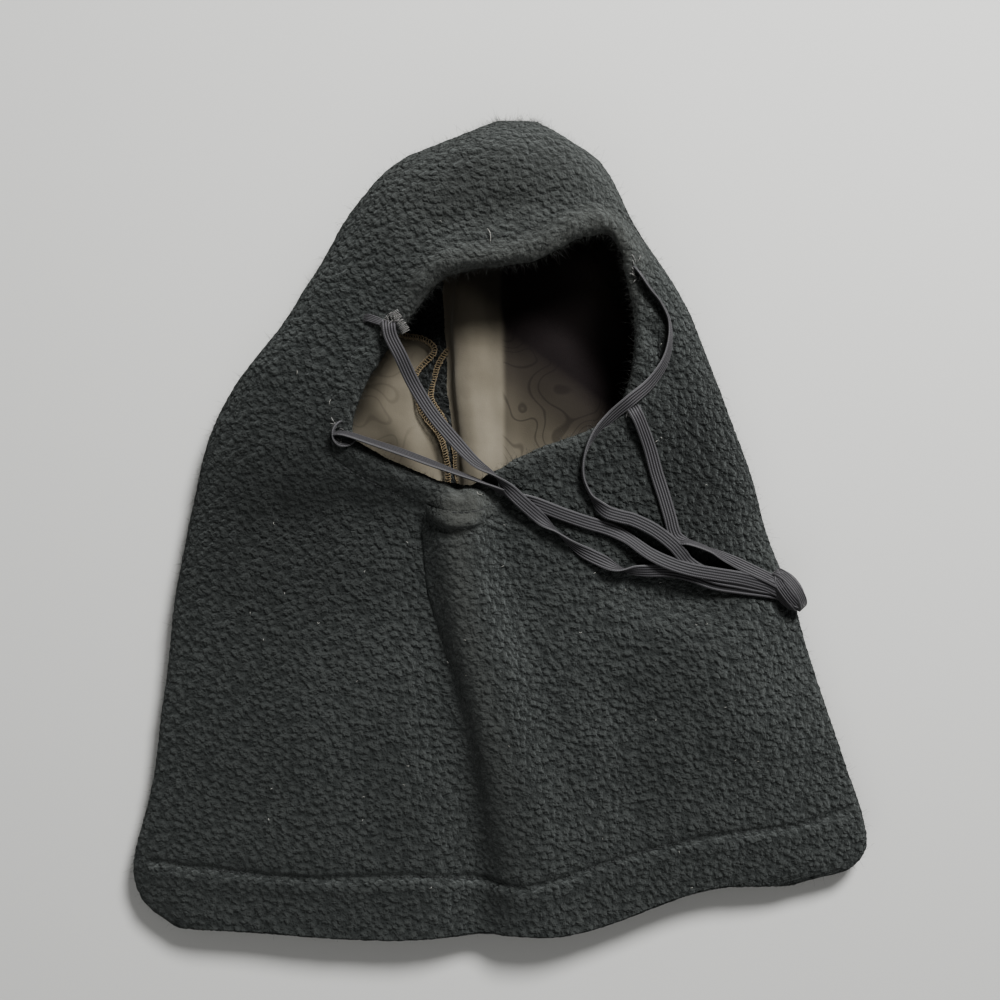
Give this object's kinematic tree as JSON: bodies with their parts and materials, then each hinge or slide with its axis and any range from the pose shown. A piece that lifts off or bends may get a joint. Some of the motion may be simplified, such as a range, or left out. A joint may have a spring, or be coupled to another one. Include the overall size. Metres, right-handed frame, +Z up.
{
  "type": "fleece balaclava",
  "caption": "Lined fleece hood laid on its back, with a cased face opening and flat elastic drawcords gathered in one knot.",
  "frame": {"origin": "on the surface the hood lies on, under the middle of its plan box", "axes": "+Z up from the surface, +Y towards the crown, +X to the right of the face opening as seen from above"},
  "size_m": [0.3423, 0.3798, 0.0599],
  "materials": {
    "fleece": "pebbled polar fleece, matt",
    "lining": "smooth brushed knit with a tone-on-tone print",
    "elastic": "flat braided elastic, ribbed",
    "overlock_thread": "looped polyester thread",
    "buttonhole_thread": "whipped thread, slightly frayed",
    "sewing_thread": "matt thread sunk in the pile"
  },
  "bodies": {
    "hood": {"outer_fleece_left": "fleece", "outer_fleece_right": "fleece", "lining_left": "lining", "lining_right": "lining", "brow_casing": "fleece", "chin_casing": "fleece", "turned_hem": "fleece", "seam_allowance_left": "fleece", "seam_allowance_right": "fleece", "overlock_left": "overlock_thread", "overlock_right": "overlock_thread", "brow_elastic": "elastic", "chin_elastic": "elastic", "buttonhole_upper_left": "buttonhole_thread", "buttonhole_lower_left": "buttonhole_thread", "buttonhole_lower_right": "buttonhole_thread", "buttonhole_upper_right": "buttonhole_thread", "casing_stitching": "sewing_thread", "hem_stitching": "sewing_thread", "elastic_leg_upper_left": "elastic", "elastic_leg_lower_left": "elastic", "elastic_leg_upper_right": "elastic", "elastic_leg_lower_right": "elastic"},
    "knot": {"elastic_knot": "elastic"}
  },
  "joints": [
    {"name": "knot_pull", "type": "slide", "parent": "hood", "child": "knot", "axis": [0.9331, -0.3596, 0], "range_m": [0, 0.05], "stiffness_N_per_m": 12, "deforming": ["elastic_leg_upper_left", "elastic_leg_lower_left", "elastic_leg_upper_right", "elastic_leg_lower_right"]}
  ]
}
